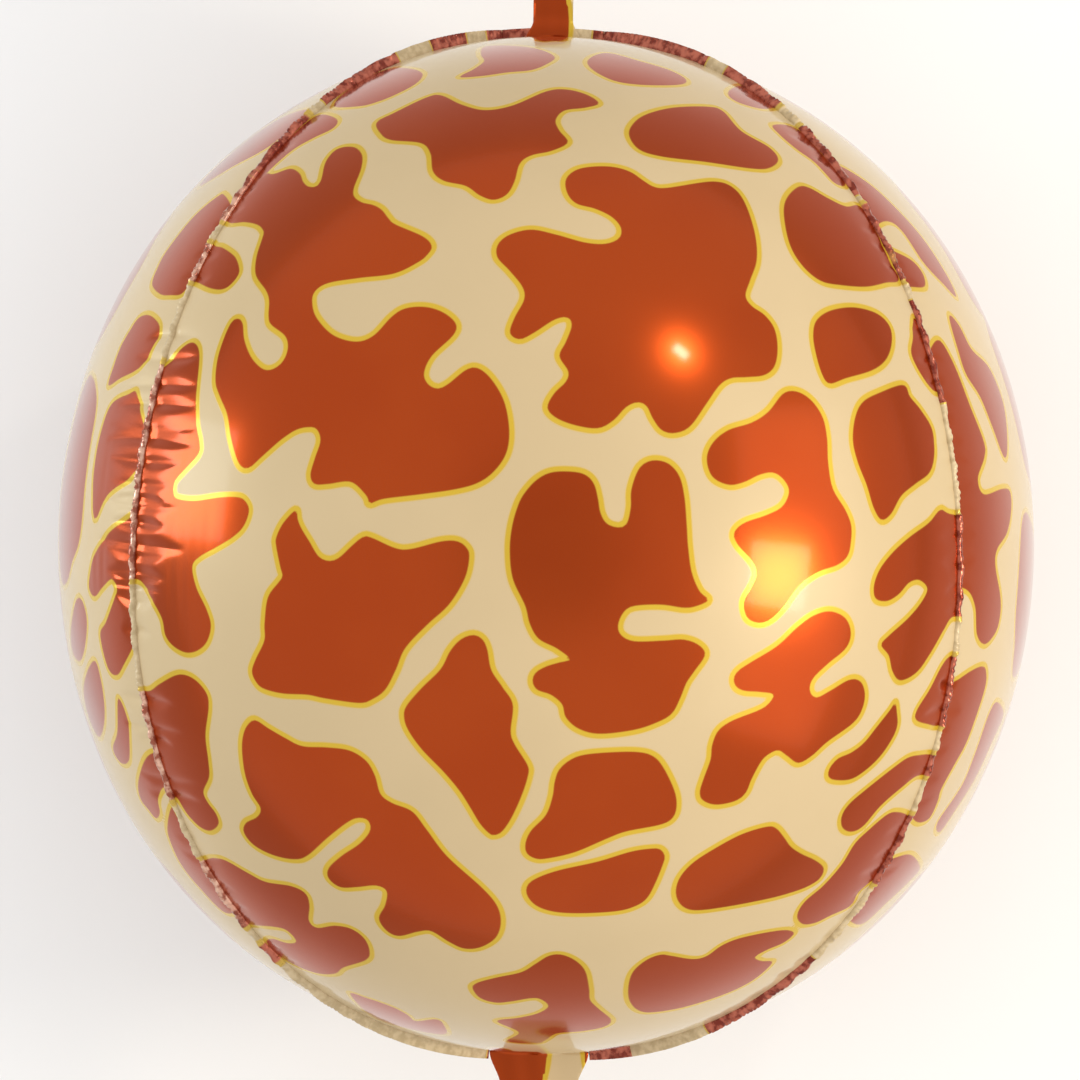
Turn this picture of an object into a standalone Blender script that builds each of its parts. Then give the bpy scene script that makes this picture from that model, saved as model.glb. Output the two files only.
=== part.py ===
"""Round foil balloon lying on its back panel: one welded envelope with seam welds, hanging tab and filling tail.

Metres, +Z up. The pole axis runs along Y, with the hanging tab at +Y and the filling tail at -Y, and the front
panel faces up. The origin is the middle of the small flat spot that the balloon lies on.

The envelope is welded from a front panel, a back panel and two side panels. The front and back panels meet each
other only at the two poles, where the tab and the tail are. From there the side panels' points open between them.
"""
import math

import bmesh
import bpy
from mathutils import Vector

# Inflated body
BODY_WIDTH = 0.381
BODY_DEPTH = 0.381
BODY_LENGTH = 0.397
SHOULDER_SWELL = 0.008
FLAT_SPOT_RADIUS = 0.036

# Weld lines
SEAM_ANGLE = math.radians(53.1)
SEAM_SKEW = 0.09
WELD_HEIGHT = 0.0055
WELD_THICKNESS = 0.0012
WELD_SWING = 0.0011

# Gathers beside the welds
GATHER_SPACING = 0.0156
GATHER_DEPTH = 0.0008
GATHER_REACH = 0.018

# Hanging tab
TAB_WIDTH = 0.0156
TAB_ROOT_WIDTH = 0.021
TAB_FLARE_LENGTH = 0.007
TAB_LENGTH = 0.026
TAB_CORNER = 0.003
TAB_HOLE_DIAMETER = 0.006
TAB_HOLE_EDGE = 0.0045

# Filling tail
TAIL_WIDTH = 0.030
TAIL_ROOT_WIDTH = 0.039
TAIL_FLARE_LENGTH = 0.014
TAIL_LENGTH = 0.075
TAIL_CORNER = 0.004

FLAP_THICKNESS = 0.0018
FLAP_BURIED = 0.006

# Mesh fineness
FRONT_COLUMNS = 12
SIDE_COLUMNS = 10
CURVE_STEPS = 6
HOLE_STEPS = 32

# Film surface
FILM_COLOUR = (0.62, 0.20, 0.06, 1.0)
FILM_ROUGHNESS = 0.22
FILM_METALLIC = 0.85

# Values that follow from the sizes above
FORK_OFFSET = TAIL_ROOT_WIDTH / 2
CENTRE_HEIGHT = BODY_DEPTH / 2 * math.sqrt(1 - (2 * FLAT_SPOT_RADIUS / BODY_WIDTH) ** 2)
HALF_WELD_ANGLE = WELD_THICKNESS / BODY_WIDTH
SEAM_ROWS = 2 * round(math.pi * BODY_LENGTH / 2 / GATHER_SPACING)


def body_point(direction):
    """Point of the body's skin in a unit direction from its centre: an ellipsoid with slightly full shoulders."""
    toward_pole = direction.y ** 2
    swell = 1 + SHOULDER_SWELL * 4 * toward_pole * (1 - toward_pole)
    reach = Vector((BODY_WIDTH * direction.x, BODY_LENGTH * direction.y, BODY_DEPTH * direction.z)) / 2
    return reach * swell


def body_normal(direction):
    """Outward direction of the skin there."""
    slope = Vector((direction.x / BODY_WIDTH, direction.y / BODY_LENGTH, direction.z / BODY_DEPTH))
    return slope.normalized()


def turned(across, turn):
    """Unit direction at an angle across, towards +X, after a turn about the X axis from the tab over the front."""
    return Vector((math.sin(across), math.cos(across) * math.cos(turn), math.cos(across) * math.sin(turn)))


def seam_across(turn):
    """Angle across of the front seam. The seam lies in a plane from the fork to its widest place."""
    fork = 2 * FORK_OFFSET / BODY_WIDTH
    opening = (math.sin(SEAM_ANGLE) - fork) / math.cos(SEAM_ANGLE)
    rise = opening * math.sin(turn - SEAM_SKEW * math.sin(turn))
    return math.atan(rise) + math.asin(fork / math.sqrt(1 + rise ** 2))


def row_turn(row):
    """Turn of a row of the mesh, from the fork at the tab to the fork at the tail."""
    margin = WELD_THICKNESS / BODY_LENGTH
    return margin + (math.pi - 2 * margin) * row / SEAM_ROWS


def gather(row, distance):
    """Rise of the skin in the gathers: ridges and hollows in turn along the weld, fading away from it."""
    along = math.sin(math.pi * row / SEAM_ROWS) ** 0.5
    fade = max(0.0, 1 - distance / GATHER_REACH) ** 2
    return GATHER_DEPTH * along * fade * (-1) ** row


def eased(share):
    """Share of the way across a panel, with its columns drawn towards the welds."""
    return share - 0.09 * math.sin(2 * math.pi * share)


def skin_vertex(mesh, row, direction, distance):
    """Vertex of the skin, lifted by the gathers at its distance from the nearest weld."""
    return mesh.verts.new(body_point(direction) + body_normal(direction) * gather(row, distance))


def panel_grid(mesh, face):
    """Vertices of the front panel, for face 1, or of the back panel, for face -1, in rows from tab to tail."""
    rows = []
    for row in range(SEAM_ROWS + 1):
        turn = row_turn(row)
        edge = seam_across(turn) - HALF_WELD_ANGLE
        vertices = []
        for column in range(FRONT_COLUMNS + 1):
            across = edge * (2 * eased(column / FRONT_COLUMNS) - 1)
            distance = (edge - abs(across)) * BODY_WIDTH / 2
            vertices.append(skin_vertex(mesh, row, turned(across, face * turn), distance))
        rows.append(vertices)
    return rows


def side_point_tip(mesh, turn, side):
    """Vertex at the point of a side panel, where its two welds meet."""
    across = seam_across(turn) + 2 * HALF_WELD_ANGLE
    pole = math.copysign(1.0, math.cos(turn))
    return mesh.verts.new(body_point(Vector((side * math.sin(across), pole * math.cos(across), 0.0))))


def side_grid(mesh, side):
    """Vertices of a side panel, in rows from tab to tail, each from the front weld round to the back weld."""
    rows = []
    for row in range(SEAM_ROWS + 1):
        turn = row_turn(row)
        if row in (0, SEAM_ROWS):
            rows.append([side_point_tip(mesh, turn, side)] * (SIDE_COLUMNS + 1))
            continue
        edge = turned(seam_across(turn) + HALF_WELD_ANGLE, turn)
        level = math.hypot(edge.x, edge.z)
        half_arc = math.atan2(edge.z, edge.x)
        vertices = []
        for column in range(SIDE_COLUMNS + 1):
            arc = half_arc * (1 - 2 * eased(column / SIDE_COLUMNS))
            direction = Vector((side * level * math.cos(arc), edge.y, level * math.sin(arc)))
            distance = (half_arc - abs(arc)) * level * BODY_WIDTH / 2
            vertices.append(skin_vertex(mesh, row, direction, distance))
        rows.append(vertices)
    return rows


def fill_grid(mesh, rows):
    """Faces between the rows of a grid, with triangles where a row has shrunk to one point."""
    for near, far in zip(rows, rows[1:]):
        for column in range(len(near) - 1):
            corners = [near[column], near[column + 1], far[column + 1], far[column]]
            mesh.faces.new(list(dict.fromkeys(corners)))


def raise_weld(mesh, first, second, crests, swings):
    """Weld fin standing on two edges of skin that run side by side, swinging to and fro along its crest."""
    for here, there, swing in zip(first, second, swings):
        gap = there.co - here.co
        lean = gap.normalized() * swing if gap.length else Vector()
        for foot in (here, there):
            if foot not in crests:
                normal = body_normal(foot.co.normalized())
                crests[foot] = mesh.verts.new(foot.co + normal * WELD_HEIGHT + lean)
    for index in range(len(first) - 1):
        near = [first[index], crests[first[index]], crests[second[index]], second[index]]
        far = [first[index + 1], crests[first[index + 1]], crests[second[index + 1]], second[index + 1]]
        for side in range(3):
            corners = [near[side], near[side + 1], far[side + 1], far[side]]
            mesh.faces.new(list(dict.fromkeys(corners)))


def weld_seams(mesh, front, back, sides):
    """Fins along the four seams and over the two poles, closed where three of them meet."""
    crests = {}
    straight = [0.0] * (FRONT_COLUMNS + 1)
    wave = [WELD_SWING * math.sin(math.pi * row / SEAM_ROWS) * (-1) ** row for row in range(SEAM_ROWS + 1)]
    for end in (0, -1):
        raise_weld(mesh, front[end], back[end], crests, straight)
    for panel in (front, back):
        for side, grid in sides.items():
            panel_edge = [row[-1] if side > 0 else row[0] for row in panel]
            side_edge = [row[0] if panel is front else row[-1] for row in grid]
            raise_weld(mesh, panel_edge, side_edge, crests, wave)
    for end in (0, -1):
        for side, grid in sides.items():
            corner = -1 if side > 0 else 0
            feet = (front[end][corner], grid[end][0], back[end][corner])
            mesh.faces.new([crests[foot] for foot in feet])


def settle_on_flat_spot(mesh):
    """Lift the body over the origin and close it with a flat face where it lies on the floor."""
    bmesh.ops.translate(mesh, verts=mesh.verts, vec=(0, 0, CENTRE_HEIGHT))
    everything = list(mesh.verts) + list(mesh.edges) + list(mesh.faces)
    cut = bmesh.ops.bisect_plane(
        mesh, geom=everything, dist=0.0001, plane_co=(0, 0, 0), plane_no=(0, 0, 1), clear_inner=True
    )
    rim = [item for item in cut["geom_cut"] if isinstance(item, bmesh.types.BMEdge)]
    for vertex in {vertex for edge in rim for vertex in edge.verts}:
        vertex.co.z = 0.0
    bmesh.ops.contextual_create(mesh, geom=rim)


def film_material():
    """Metallised film, in the colour that most of its print has."""
    material = bpy.data.materials.new("printed_film")
    material.use_nodes = True
    shader = material.node_tree.nodes["Principled BSDF"]
    shader.inputs["Base Color"].default_value = FILM_COLOUR
    shader.inputs["Roughness"].default_value = FILM_ROUGHNESS
    shader.inputs["Metallic"].default_value = FILM_METALLIC
    return material


def add_object(name, mesh, cutter=False):
    """Object made from a bmesh. A cutter only shapes its neighbour, so it stays a wire guide."""
    bmesh.ops.recalc_face_normals(mesh, faces=mesh.faces)
    data = bpy.data.meshes.new(name)
    mesh.to_mesh(data)
    mesh.free()
    thing = bpy.data.objects.new(name, data)
    bpy.context.scene.collection.objects.link(thing)
    if cutter:
        thing.hide_render = True
        thing.display_type = "WIRE"
    return thing


def flap_outline(width, root_width, flare_length, length, corner):
    """Right-hand outline of a flap as (half width, distance from the pole), from its buried root to its end."""
    points = [(root_width / 2, -FLAP_BURIED)]
    for step in range(CURVE_STEPS + 1):
        share = step / CURVE_STEPS
        half = width / 2 + (root_width - width) / 2 * (1 - share) ** 2
        points.append((half, flare_length * share))
    for step in range(CURVE_STEPS + 1):
        angle = math.pi / 2 * step / CURVE_STEPS
        half = width / 2 - corner * (1 - math.cos(angle))
        points.append((half, length - corner * (1 - math.sin(angle))))
    return points


def make_flap(name, outline, pole):
    """Flat flap in the middle plane, standing out from the pole at +Y, for pole 1, or at -Y, for pole -1."""
    start = BODY_LENGTH / 2
    ring = [(half, start + distance) for half, distance in outline]
    ring += [(-half, along) for half, along in reversed(ring)]
    mesh = bmesh.new()
    low = CENTRE_HEIGHT - FLAP_THICKNESS / 2
    base = mesh.faces.new([mesh.verts.new((across, pole * along, low)) for across, along in ring])
    raised = bmesh.ops.extrude_face_region(mesh, geom=[base])
    upper = [item for item in raised["geom"] if isinstance(item, bmesh.types.BMVert)]
    bmesh.ops.translate(mesh, verts=upper, vec=(0, 0, FLAP_THICKNESS))
    return add_object(name, mesh, cutter=True)


def make_hole_cutter():
    """Pin through the tab that leaves its hanging hole."""
    mesh = bmesh.new()
    bmesh.ops.create_cone(
        mesh,
        cap_ends=True,
        segments=HOLE_STEPS,
        radius1=TAB_HOLE_DIAMETER / 2,
        radius2=TAB_HOLE_DIAMETER / 2,
        depth=5 * FLAP_THICKNESS,
    )
    hole_along = BODY_LENGTH / 2 + TAB_LENGTH - TAB_HOLE_EDGE - TAB_HOLE_DIAMETER / 2
    bmesh.ops.translate(mesh, verts=mesh.verts, vec=(0, hole_along, CENTRE_HEIGHT))
    return add_object("hole_cutter", mesh, cutter=True)


def shape_with(thing, tool, operation):
    """Join the tool to the thing, or cut it out."""
    modifier = thing.modifiers.new(tool.name, "BOOLEAN")
    modifier.operation = operation
    modifier.solver = "EXACT"
    modifier.object = tool


def make_envelope():
    """The welded envelope: four panels of skin, their welds, the tab and the tail."""
    mesh = bmesh.new()
    front = panel_grid(mesh, 1)
    back = panel_grid(mesh, -1)
    sides = {side: side_grid(mesh, side) for side in (-1, 1)}
    for grid in (front, back, *sides.values()):
        fill_grid(mesh, grid)
    weld_seams(mesh, front, back, sides)
    settle_on_flat_spot(mesh)
    envelope = add_object("envelope", mesh)
    tab = make_flap("tab_flap", flap_outline(TAB_WIDTH, TAB_ROOT_WIDTH, TAB_FLARE_LENGTH, TAB_LENGTH, TAB_CORNER), 1)
    tail = make_flap(
        "tail_flap", flap_outline(TAIL_WIDTH, TAIL_ROOT_WIDTH, TAIL_FLARE_LENGTH, TAIL_LENGTH, TAIL_CORNER), -1
    )
    shape_with(envelope, tab, "UNION")
    shape_with(envelope, tail, "UNION")
    shape_with(envelope, make_hole_cutter(), "DIFFERENCE")
    envelope.data.materials.append(film_material())
    envelope.data.shade_smooth()
    envelope.data.set_sharp_from_angle(angle=math.radians(40))


for old in list(bpy.data.objects):
    bpy.data.objects.remove(old, do_unlink=True)
make_envelope()
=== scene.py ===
"""Round four-panel foil balloon with a giraffe coat print, lying on its back, seen from straight above.

The four film panels, the crinkled welds, the hanging tab and the filling tail are fine meshes that stand
for the one solid called envelope. The print is drawn as smooth closed outlines: those that the picture
shows, and plainer ones on the side panels' hidden halves. Each mesh point holds its distance to the
nearest outline, and the film's material turns that into inks. Lengths are in metres, and those of the
print and the creases in millimetres.
"""

import math
import random

import bmesh
import bpy
import numpy as np
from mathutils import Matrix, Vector
from mathutils.geometry import delaunay_2d_cdt
from mathutils.kdtree import KDTree


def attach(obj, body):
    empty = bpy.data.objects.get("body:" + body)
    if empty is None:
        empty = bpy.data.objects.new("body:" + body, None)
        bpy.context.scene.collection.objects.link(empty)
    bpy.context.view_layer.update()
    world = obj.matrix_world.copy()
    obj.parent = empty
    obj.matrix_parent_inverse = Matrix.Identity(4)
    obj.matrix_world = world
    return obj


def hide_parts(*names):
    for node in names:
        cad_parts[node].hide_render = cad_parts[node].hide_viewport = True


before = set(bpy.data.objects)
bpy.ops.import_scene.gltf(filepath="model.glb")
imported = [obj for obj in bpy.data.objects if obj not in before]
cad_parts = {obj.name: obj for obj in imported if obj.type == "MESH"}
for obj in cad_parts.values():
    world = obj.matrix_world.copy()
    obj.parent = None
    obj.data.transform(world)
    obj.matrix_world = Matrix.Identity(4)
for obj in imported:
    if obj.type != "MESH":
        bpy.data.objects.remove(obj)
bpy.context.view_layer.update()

# Body, the same values as the solid's

BODY_WIDTH = 0.381
BODY_DEPTH = 0.381
BODY_LENGTH = 0.397
SHOULDER_SWELL = 0.008
FLAT_SPOT_RADIUS = 0.036
SEAM_ANGLE = math.radians(53.1)
SEAM_SKEW = 0.09
TAB_WIDTH = 0.0156
TAB_ROOT_WIDTH = 0.021
TAB_FLARE_LENGTH = 0.007
TAB_LENGTH = 0.026
TAB_CORNER = 0.003
TAB_HOLE_DIAMETER = 0.006
TAB_HOLE_EDGE = 0.0045
TAIL_WIDTH = 0.030
TAIL_ROOT_WIDTH = 0.039
TAIL_FLARE_LENGTH = 0.014
TAIL_LENGTH = 0.075
TAIL_CORNER = 0.004
FORK_OFFSET = TAIL_ROOT_WIDTH / 2
CENTRE_HEIGHT = BODY_DEPTH / 2 * math.sqrt(1 - (2 * FLAT_SPOT_RADIUS / BODY_WIDTH) ** 2)
CENTRE = np.array([0.0, 0.0, CENTRE_HEIGHT])
RADIUS = BODY_WIDTH / 2
POLE = BODY_LENGTH / 2
HALF_TURN = np.array([-1.0, 1.0, -1.0])

# Film, finer than the solid has it

WELD_HEIGHT = 0.0021
WELD_POLE_HEIGHT = 0.0044
WELD_FOOT_DEPTH = 0.0028
WELD_THICKNESS = 0.0003
WELD_LEAN = math.radians(74)
WELD_PRINT_INSET = 0.0015
STRETCH_END_SHARE = 0.35
POLE_WELD_START = 0.0084
POLE_WELD_OVERLAP = 1.04
FLAP_THICKNESS = 0.0005
PANEL_ROWS = 430
FRONT_COLUMNS = 230
SIDE_COLUMNS = 165
BACK_COLUMNS = 170
SEAM_SAMPLES = 2100
SEAM_DIP = 0.0005
SEAM_DIP_REACH = 0.010
FRONT_CREASE_TURN = 1.45
FRONT_CREASE_SPAN = 0.62
FLAP_GRID = 0.0011
FLAP_GRID_EDGE = 0.0006
HOLE_POINTS = 40
MERGE_DISTANCE = 1e-7

# Millimetres in a metre

MM = 1000

# Names of the sides and faces

SIDE_NAMES = {-1: "left", 1: "right"}
FACE_NAMES = {-1: "back", 1: "front"}

# Waves of a weld's edge: length, drift and the drift's own length, then how far each leans the edge

CRINKLE_WAVE = (0.00052, 2.2, 0.0061)
CRINKLE_LEAN = 0.16
BEND_WAVE = (0.0019, 1.5, 0.0083)
BEND_LEAN = 0.30
RIB_WAVE = (0.00034, 1.2, 0.0047)
RIB_LEAN = 0.15
RIB_BEAT = 0.013
KNOT_LENGTH = 0.0011
WELD_LEVELS = (-1.0, 0.0, 0.25, 0.5, 0.75, 0.95, 1.0)

# Creases in millimetres; the front seams' deep ones by side: the heights that they lie between, and depth

PLAIN_CREASE = 0.35
BACK_CREASE = 0.4
DEEP_CREASES = {-1: (-102, 84, 1.0), 1: (-90, -40, 0.6)}
CREASE_HEIGHTS = (-188.0, 184.0)
CREASE_SPREAD = 12
CREASE_BEND = 1.6
CREASE_WIDTH = 0.9
CREASE_BELLY = 1.3
CREASE_EASE_SHARE = 0.15
FOLD_WIDTH = 1.7

# Camera, from the photograph: how far it stands, in radii, and where the balloon's middle lies in it

CAMERA_RADII = 10.0
CAMERA_TURN = math.radians(0.78)
IMAGE_WIDTH = 1080
OUTLINE_RADIUS_PIXELS = 488
MIDDLE_PIXEL = (546, 545)
SENSOR_WIDTH = 36.0
CAMERA_SPREAD = math.sqrt(CAMERA_RADII ** 2 - 1)

# Front print: the brown patches' edges in millimetres right of and above the middle, as seen from above

FRONT_PATCHES = {
    "top_bat": [
        (-66.3, 165), (-59.6, 168.7), (-46.8, 174.8), (-41, 175.6), (-33, 172), (-24, 169.9), (-13.2, 171.7),
        (0, 177.2), (8, 177.9), (16, 175.8), (20.4, 172.5), (15, 170.8), (7, 169.7), (3.6, 166), (5, 162),
        (8.3, 157.3), (2, 154), (-6, 152.2), (-10.4, 149), (-12.5, 142), (-15.5, 137), (-20.6, 134.9),
        (-26, 136.6), (-31.5, 140.3), (-40, 142.3), (-44.3, 146), (-45.3, 153), (-49, 157), (-60.5, 158.2),
        (-64.5, 160.5)],
    "top_left_weld": [
        (-83, 172), (-73, 171.4), (-65, 173.4), (-57, 176.8), (-50.5, 180.5), (-48.3, 184), (-53, 186),
        (-62, 186), (-74, 181)],
    "upper_left_weld": [
        (-82, 166.5), (-83, 163), (-91, 159), (-99, 154.5), (-108, 147), (-113, 143), (-112, 150),
        (-100, 160), (-90, 168)],
    "top_strip": [
        (-33.7, 182.8), (-25, 183.2), (-15, 184.6), (-5.8, 185.5), (0.5, 188), (3.3, 190.6), (-3, 193.6),
        (-14, 195), (-24, 194.6), (-25.5, 191.5), (-24.2, 189), (-28, 186)],
    "top_right_strip": [
        (16, 188.5), (19, 191.2), (25, 192), (36, 189.1), (48, 185.5), (54.5, 181.8), (52, 179.8),
        (38, 179.7), (27, 181.2), (19, 185)],
    "upper_right_leaf": [
        (32.2, 160.5), (34.5, 165.3), (40, 168.6), (50, 170.9), (63, 171.2), (69, 169.4), (76, 161.8),
        (87, 155.3), (90.5, 150.5), (87, 147.3), (80, 147.1), (62, 149.7), (45, 151.8), (36, 154.7)],
    "top_right_weld": [(71.2, 175.5), (72.5, 178.3), (80, 180), (90, 173), (85, 170.5), (76, 172.5)],
    "right_top_weld": [
        (88.5, 164), (91.5, 160), (98, 154.5), (105, 149.5), (113, 141.5), (117, 142), (108, 153),
        (98, 163)],
    "upper_middle": [
        (7.3, 141.4), (8.8, 144.7), (13, 147.1), (20, 148), (27, 147.6), (33, 145.7), (38, 142.3), (42, 140),
        (47, 139.6), (60, 141.6), (66, 142), (71, 140.8), (75.5, 137), (79, 130), (81.7, 120), (82, 111),
        (79.5, 103.5), (77.7, 97.6), (80, 93.6), (85.2, 89.9), (89, 84.5), (90.2, 77), (89, 70), (85, 66.5),
        (78, 65.7), (72, 65.3), (67.5, 62.5), (62.5, 55.5), (56, 46.5), (50, 43.9), (45, 45), (41.5, 49.5),
        (39, 54.4), (35.5, 55.9), (31, 54), (26, 48.8), (20, 45.8), (11, 47), (3.5, 50), (0.3, 54),
        (3, 59.5), (7.5, 64), (8.4, 68), (5, 74), (7.5, 79.5), (9.8, 86), (8, 89), (3, 88.1), (-5, 83),
        (-10.5, 80.5), (-14.3, 83), (-12.5, 89), (-8.8, 96), (-9.5, 101), (-14.5, 107.3), (-19.2, 112.5),
        (-19, 117.5), (-14.5, 121.3), (-6, 123.3), (4, 121.3), (15, 118.3), (23, 117.8), (28.3, 120),
        (29, 124), (25.5, 128.2), (19, 131.4), (12, 133.3), (8.5, 136.7)],
    "upper_left": [
        (-107, 145), (-100, 147), (-96.3, 145.1), (-95, 142), (-93, 140.1), (-89.9, 140.1), (-88, 142.5),
        (-86.5, 148.8), (-84.5, 152.2), (-81.8, 154.6), (-77.8, 155.6), (-74.1, 155), (-71.9, 152),
        (-72.4, 146.8), (-75.2, 139.4), (-75, 136.1), (-72, 133.9), (-67.7, 132.9), (-64.3, 131),
        (-61.6, 127.6), (-58.9, 125.3), (-48.2, 120.6), (-44.8, 116.8), (-46.5, 113.5), (-50.2, 110.5),
        (-59.6, 106.1), (-73, 104.4), (-85.2, 102.4), (-90.5, 99), (-91.4, 94.2), (-89.5, 88.5),
        (-83.2, 82.1), (-74.4, 79.6), (-67.5, 82), (-60.5, 89.3), (-55, 92.6), (-47, 93.1), (-40, 90.8),
        (-35.4, 86.5), (-36.5, 82), (-44.8, 74), (-47.8, 67.5), (-46.5, 63.3), (-42.8, 61.3), (-38.7, 62.9),
        (-31.3, 68.7), (-26.5, 69.1), (-21.3, 64.6), (-16.5, 56), (-14.6, 45), (-15.8, 36), (-20.6, 28.9),
        (-27, 24.4), (-36, 21.9), (-50, 19.9), (-63.7, 18.2), (-68.9, 16.5), (-70.4, 19.5), (-76.4, 24.8),
        (-85.2, 24), (-90.5, 24), (-92.2, 27.5), (-90.5, 34), (-88.3, 41), (-90, 45.6), (-94, 46.1),
        (-98, 45), (-102.1, 42.4), (-105.5, 39.7), (-111.5, 34.3), (-115.9, 30.4), (-118.8, 30.6),
        (-121, 34), (-123.3, 42.4), (-124.7, 51.2), (-127.7, 58.6), (-129.2, 64), (-128.4, 72.7),
        (-125.7, 81.4), (-122.8, 87.3), (-120.3, 88.5), (-118.6, 86.5), (-117.9, 80.1), (-115.2, 73.4),
        (-110.9, 69), (-107, 68.8), (-103, 71.8), (-101, 77), (-102.1, 81.8), (-107.5, 86.2),
        (-108.5, 89.5), (-108.3, 95.6), (-109.5, 99.5), (-113.4, 105.5), (-113.2, 112.5), (-110.9, 119.9),
        (-110.4, 122.5), (-112.5, 125), (-117.6, 126.2), (-124, 126.3), (-128, 131), (-120, 139),
        (-112, 146)],
    "left_upper_weld": [
        (-129.4, 117), (-127, 116.5), (-123.7, 114.5), (-121.3, 112.2), (-120, 108.5), (-120.3, 105.5),
        (-123.7, 101.4), (-127, 99.9), (-131.1, 100.4), (-135.4, 102.4), (-141, 106), (-136, 116),
        (-132, 119)],
    "left_middle_weld": [
        (-138.5, 79.3), (-136, 77.2), (-135.6, 71.3), (-136.8, 57.9), (-136.6, 47), (-135.4, 40.4),
        (-135.8, 35.7), (-141.2, 29.6), (-145, 25), (-145.5, 20.2), (-143.8, 18.2), (-137, 17.5),
        (-127.7, 18.8), (-120, 18.8), (-117, 16.5), (-116.2, 13), (-118.3, 7.4), (-122.5, 3.2),
        (-129, -0.8), (-135.5, -4.5), (-138.3, -8.2), (-136.8, -16.2), (-132.7, -25), (-131, -31.5),
        (-132.7, -37.8), (-136.5, -41.2), (-141, -41.8), (-145.9, -39.1), (-148.8, -35), (-150.2, -28.4),
        (-154.6, -20.6), (-160, -13.6), (-168, -10), (-169, 20), (-165, 50), (-158, 66), (-150.6, 69),
        (-146.5, 73), (-142, 77.5)],
    "left_lower_weld": [
        (-155.3, -57), (-151.3, -54.3), (-145.2, -50.9), (-141, -50.6), (-136.5, -53), (-132.6, -58),
        (-131.9, -63.5), (-133.1, -74.1), (-132, -84), (-131.7, -90.4), (-133.9, -96), (-132.4, -100.1),
        (-129, -104.8), (-128, -108.8), (-131, -111.4), (-135.1, -110.2), (-140, -105.6), (-145, -99),
        (-150, -98), (-156, -90), (-161, -75), (-163, -62), (-160, -57)],
    "left_middle": [
        (-98, 13.7), (-102.8, 8.8), (-105.5, 3.3), (-105.6, -0.1), (-104, -8.2), (-103.1, -11.9),
        (-104.5, -14.2), (-108.8, -20.3), (-110.1, -30.4), (-110.2, -37.1), (-113.6, -44.5), (-115, -49.3),
        (-113.2, -53.6), (-110.2, -56), (-103, -57.8), (-93.3, -58.3), (-86.5, -59.7), (-73.1, -61.5),
        (-68, -60), (-63, -56.3), (-58.9, -48.6), (-55.2, -40.1), (-46.8, -31.1), (-38.1, -23),
        (-32, -12.9), (-30.2, -4.5), (-31.3, -0.8), (-35, 1.7), (-41.4, 1.6), (-52.9, -1.3), (-59, -1),
        (-68.4, 3.1), (-71.8, 3.3), (-76.4, -0.4), (-81, -4.7), (-84.9, -6), (-89, -4.2), (-92.6, 1.6),
        (-95.7, 6.7), (-97.1, 10.1)],
    "centre_two_prong": [
        (-14.4, -2.1), (-13.6, 7), (-11.5, 14.8), (-9, 20), (-4, 25.6), (2, 28.6), (10.5, 28.8),
        (15.5, 27.4), (18.5, 24), (20, 18.5), (21, 12.8), (23.5, 8.6), (28, 7.1), (31.2, 8.5),
        (32.8, 14.8), (33, 21.5), (35.4, 28.9), (38.5, 32.3), (43, 33.3), (48, 31.7), (51.9, 26.9),
        (53.8, 19), (54.7, 8), (55.2, 0), (56.6, -10.2), (59.6, -17.6), (63, -21.3), (58.3, -23.7),
        (53.6, -24.3), (44.8, -23.1), (34.7, -23.5), (30.5, -25.5), (28, -30.4), (28.8, -34.6),
        (34, -37.3), (45.5, -37.1), (53.5, -36.7), (59.5, -38.9), (61.8, -42.8), (57.6, -49.2),
        (54.6, -53.6), (52, -60), (48.8, -65.7), (43, -69.1), (34, -72), (20.6, -73.5), (12.5, -71.5),
        (7.5, -67.1), (6, -62), (1.7, -58.3), (-3.7, -56.3), (-5.5, -53), (-4.3, -49.6), (0, -47.1),
        (5, -45.6), (9, -44.3), (4, -40.2), (-3.1, -36.4), (-6.6, -30.5), (-8.4, -23.5), (-13.2, -13)],
    "right_middle": [
        (118.9, 2), (118.9, 8), (116.6, 14), (111.8, 22.2), (110, 32), (109.5, 42), (107.8, 50),
        (103.5, 56.5), (98, 60), (92.5, 59.4), (86.5, 52.2), (80, 48), (71, 45.1), (65, 40.3), (62.5, 34),
        (64.7, 26.9), (71, 23.7), (77, 24.7), (83.2, 27.6), (88.5, 28.4), (92.6, 25.6), (94.6, 21),
        (92, 15.3), (86, 12), (77, 8.8), (73.2, 5), (74.4, 0.6), (80, -6), (81.9, -11), (80, -16.2),
        (77, -22), (78.2, -28), (82.5, -30.2), (87.2, -29), (92.5, -24), (98.8, -15.6), (106, -10.4),
        (113.6, -7.6), (117.6, -4)],
    "right_upper": [
        (92.7, 129), (93.8, 135.5), (98.5, 140), (103, 139.4), (110, 135.5), (117, 132.4), (123, 132.5),
        (129, 123), (134, 112), (138, 104), (133, 102.7), (125, 101), (115, 101.6), (107, 103.3),
        (100, 109.1), (95, 117.5)],
    "right_upper_second": [
        (104.1, 82.5), (105.5, 88), (111, 91.7), (120, 92.9), (129, 90.5), (134, 85.5), (134.8, 79),
        (132.5, 72.5), (127, 68.3), (117, 65.3), (110.5, 63.2), (107.5, 67), (105, 75.5)],
    "right_weld_streak": [
        (144, 89), (143.3, 81), (142.7, 74.5), (147, 66), (152, 60.3), (155, 62), (152, 72), (148, 82)],
    "right_weld_tall": [
        (139.3, 62.6), (130, 59.6), (123.5, 56), (120.5, 50), (119.6, 41), (121.5, 32.5), (125, 23.5),
        (127.8, 14.5), (130.8, 10), (134.5, 12.3), (138.5, 19.3), (144, 24), (149.5, 28.3), (151.5, 35),
        (150.8, 45), (146.5, 52.5), (142, 58)],
    "right_weld_hook": [
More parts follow.
